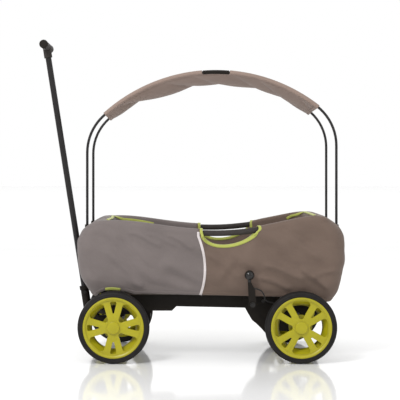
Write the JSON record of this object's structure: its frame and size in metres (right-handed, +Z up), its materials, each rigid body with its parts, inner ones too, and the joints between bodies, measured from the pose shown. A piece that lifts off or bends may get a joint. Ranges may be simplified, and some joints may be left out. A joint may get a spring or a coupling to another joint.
{
  "type": "kids pull wagon",
  "caption": "Fabric-sided pull wagon with steered front axle, T-grip pull handle, rear wheel brake and a lift-off hooped sun canopy.",
  "frame": {"origin": "on the ground under the wagon's tyres, at the middle of its overall length and width", "axes": "+Z up, the handle end points to -X and the rear to +X, +Y to the wagon's right side"},
  "size_m": [1.1004, 0.56, 1.1577],
  "materials": {
    "frame_plastic": "fine moulded texture, satin black",
    "frame_steel": "black powder coat",
    "zinc_steel": "zinc plated",
    "grip_foam": "closed-cell black foam",
    "knob_plastic": "polished black",
    "cable_sheath": "black extruded sheath",
    "floor_board": "dark moulded board",
    "pad_fabric": "woven polyester over foam",
    "grey_fabric": "woven polyester, warm grey",
    "brown_fabric": "woven polyester, taupe brown",
    "canopy_fabric": "thin woven polyester, light taupe",
    "tyre": "solid black tyre",
    "rim": "lime moulded plastic, satin",
    "bushing": "black nylon"
  },
  "bodies": {
    "chassis": {"left_side_rail": "frame_plastic", "right_side_rail": "frame_plastic", "turntable_block": "frame_plastic", "cross_members": "frame_steel", "rear_left_bracket": "frame_plastic", "rear_right_bracket": "frame_plastic", "rear_axle": "zinc_steel", "floor_board": "floor_board", "floor_pad": "pad_fabric", "front_end_frame": "frame_steel", "rear_end_frame": "frame_steel", "left_rim_tube": "frame_steel", "right_rim_tube": "frame_steel", "left_rail_grip": "grip_foam", "right_rail_grip": "grip_foam", "hoop_sockets": "frame_plastic", "left_front_panel": "grey_fabric", "right_front_panel": "grey_fabric", "front_end_panel": "grey_fabric", "left_rear_panel": "brown_fabric", "right_rear_panel": "brown_fabric", "rear_end_panel": "brown_fabric", "brake_cable": "cable_sheath", "frame_bolts": "zinc_steel"},
    "front_carriage": {"turntable_plate": "frame_plastic", "axle_beam": "frame_steel", "front_axle": "zinc_steel", "kingpin": "zinc_steel", "drawbar_fork": "frame_plastic", "handle_pivot_bolt": "zinc_steel"},
    "pull_handle": {"handle_socket": "frame_plastic", "handle_tube": "frame_steel", "grip_bar": "grip_foam", "grip_caps": "frame_plastic", "socket_bolt": "zinc_steel"},
    "brake_lever": {"brake_arm": "frame_plastic", "brake_knob": "knob_plastic", "brake_shaft": "zinc_steel"},
    "left_peg": {"left_brake_peg": "zinc_steel"},
    "right_peg": {"right_brake_peg": "zinc_steel"},
    "canopy": {"left_hoop": "frame_steel", "right_hoop": "frame_steel", "hoop_joiners": "frame_plastic", "canopy_fabric": "canopy_fabric"},
    "front_left_wheel": {"front_left_tyre": "tyre", "front_left_rim": "rim", "front_left_bushing": "bushing", "front_left_hub_cap": "rim"},
    "front_right_wheel": {"front_right_tyre": "tyre", "front_right_rim": "rim", "front_right_bushing": "bushing", "front_right_hub_cap": "rim"},
    "rear_left_wheel": {"rear_left_tyre": "tyre", "rear_left_rim": "rim", "rear_left_bushing": "bushing", "rear_left_hub_cap": "rim"},
    "rear_right_wheel": {"rear_right_tyre": "tyre", "rear_right_rim": "rim", "rear_right_bushing": "bushing", "rear_right_hub_cap": "rim"}
  },
  "joints": [
    {"name": "steer", "type": "hinge", "parent": "chassis", "child": "front_carriage", "pos_m": [-0.26963, 0, 0.15], "axis": [0, 0, 1], "range_deg": [-20, 20]},
    {"name": "handle_pitch", "type": "hinge", "parent": "front_carriage", "child": "pull_handle", "pos_m": [-0.37662, 0, 0.14], "axis": [0, -1, 0], "range_deg": [0, 86]},
    {"name": "brake", "type": "hinge", "parent": "chassis", "child": "brake_lever", "pos_m": [0.22037, -0.2505, 0.206], "axis": [0, -1, 0], "range_deg": [0, 30]},
    {"name": "left_peg_slide", "type": "slide", "parent": "chassis", "child": "left_peg", "axis": [0, -1, 0], "range_m": [0, 0.012]},
    {"name": "right_peg_slide", "type": "slide", "parent": "chassis", "child": "right_peg", "axis": [0, 1, 0], "range_m": [0, 0.012]},
    {"name": "canopy_lift", "type": "slide", "parent": "chassis", "child": "canopy", "axis": [0, 0, 1], "range_m": [0, 0.06]},
    {"name": "front_left_spin", "type": "hinge", "parent": "front_carriage", "child": "front_left_wheel", "pos_m": [-0.26963, -0.257, 0.127], "axis": [0, 1, 0], "continuous": true},
    {"name": "front_right_spin", "type": "hinge", "parent": "front_carriage", "child": "front_right_wheel", "pos_m": [-0.26963, 0.257, 0.127], "axis": [0, 1, 0], "continuous": true},
    {"name": "rear_left_spin", "type": "hinge", "parent": "chassis", "child": "rear_left_wheel", "pos_m": [0.39038, -0.257, 0.127], "axis": [0, 1, 0], "continuous": true},
    {"name": "rear_right_spin", "type": "hinge", "parent": "chassis", "child": "rear_right_wheel", "pos_m": [0.39038, 0.257, 0.127], "axis": [0, 1, 0], "continuous": true}
  ],
  "couplings": [
    {"joint": "left_peg_slide", "follows": "brake", "m_per_rad": 0.0229},
    {"joint": "right_peg_slide", "follows": "brake", "m_per_rad": 0.0229}
  ]
}
